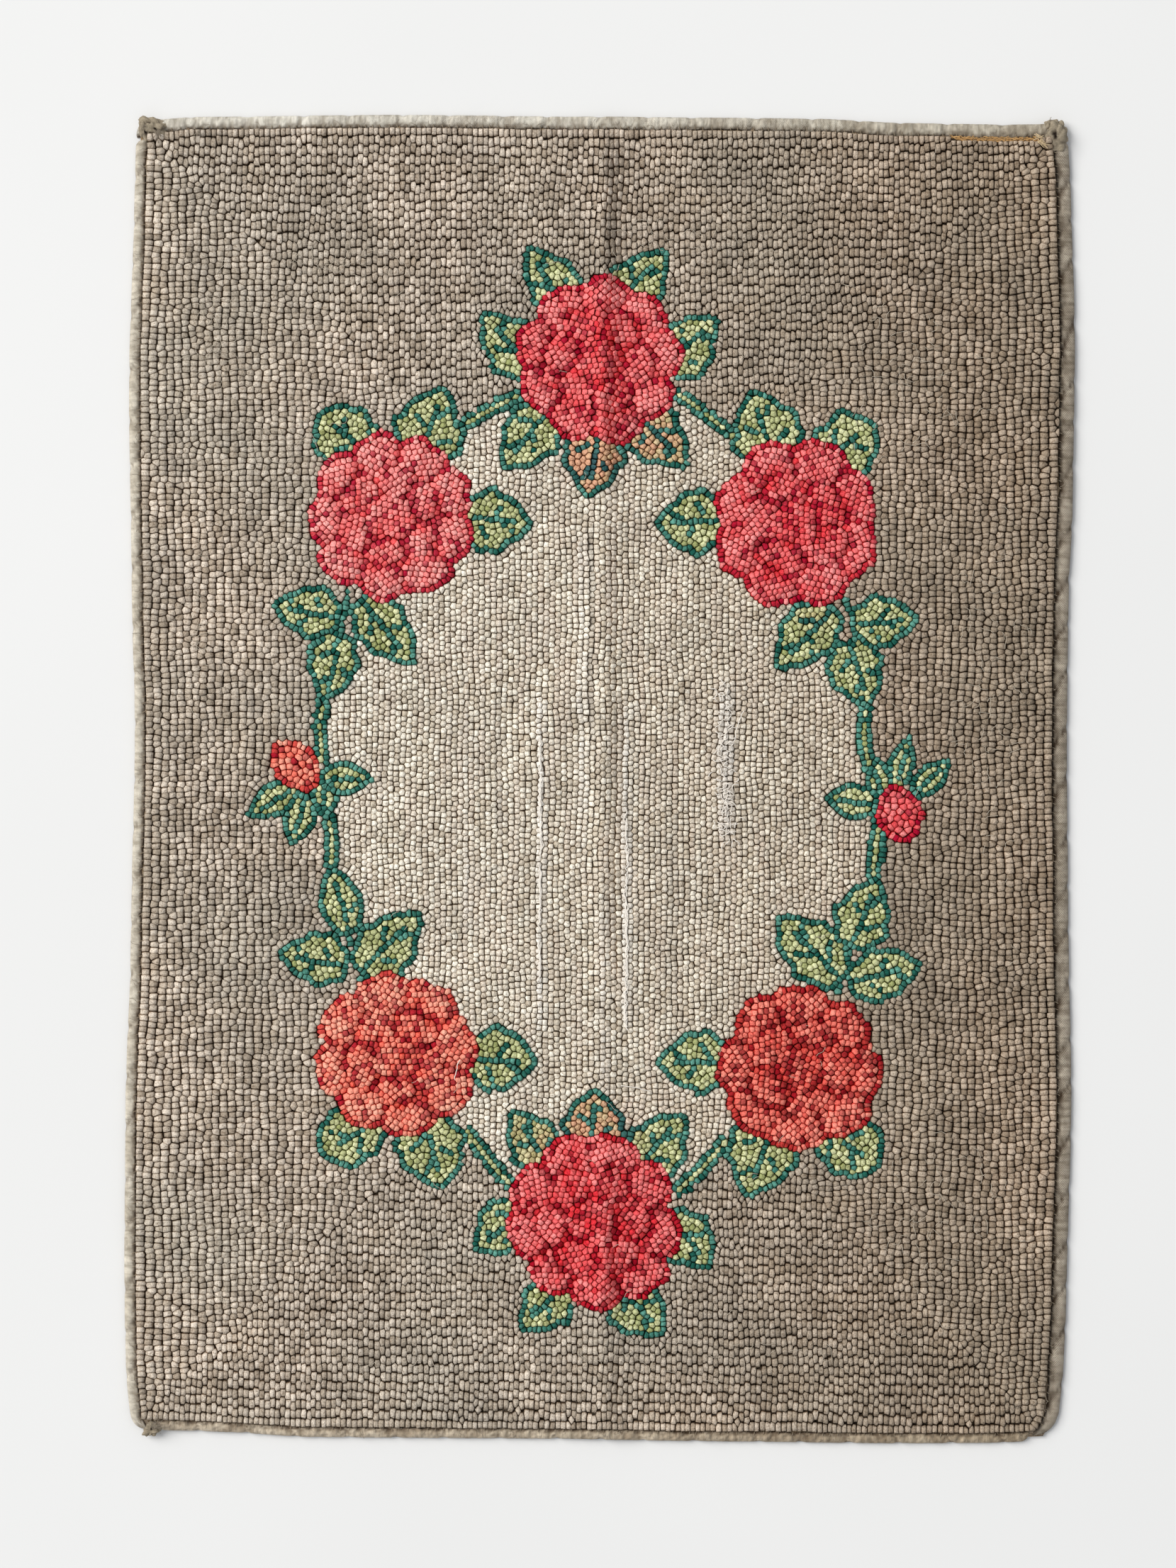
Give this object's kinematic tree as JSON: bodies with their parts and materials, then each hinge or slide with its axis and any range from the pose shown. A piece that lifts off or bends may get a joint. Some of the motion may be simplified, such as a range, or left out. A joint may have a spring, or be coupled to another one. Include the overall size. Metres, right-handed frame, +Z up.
{
  "type": "hooked rug",
  "caption": "Small rectangular hooked rug with a floral wreath, lying flat, its raw edges bound with folded twill tape.",
  "frame": {"origin": "middle of the rug's overall box, on the surface it lies on", "axes": "+X across the width, to the right of the design; +Y along the length, towards the top of the design; +Z up from the surface"},
  "size_m": [0.712, 0.995, 0.0122],
  "materials": {
    "hooked_loops": "dull looped yarn: taupe ground, ivory centre, coral and red roses, yellow-green and teal leaves",
    "binding_tape": "washed natural cotton twill tape"
  },
  "bodies": {
    "root": {"hooked_panel": "hooked_loops", "binding_top": "binding_tape", "binding_bottom": "binding_tape", "binding_left": "binding_tape", "binding_right": "binding_tape"}
  },
  "joints": []
}
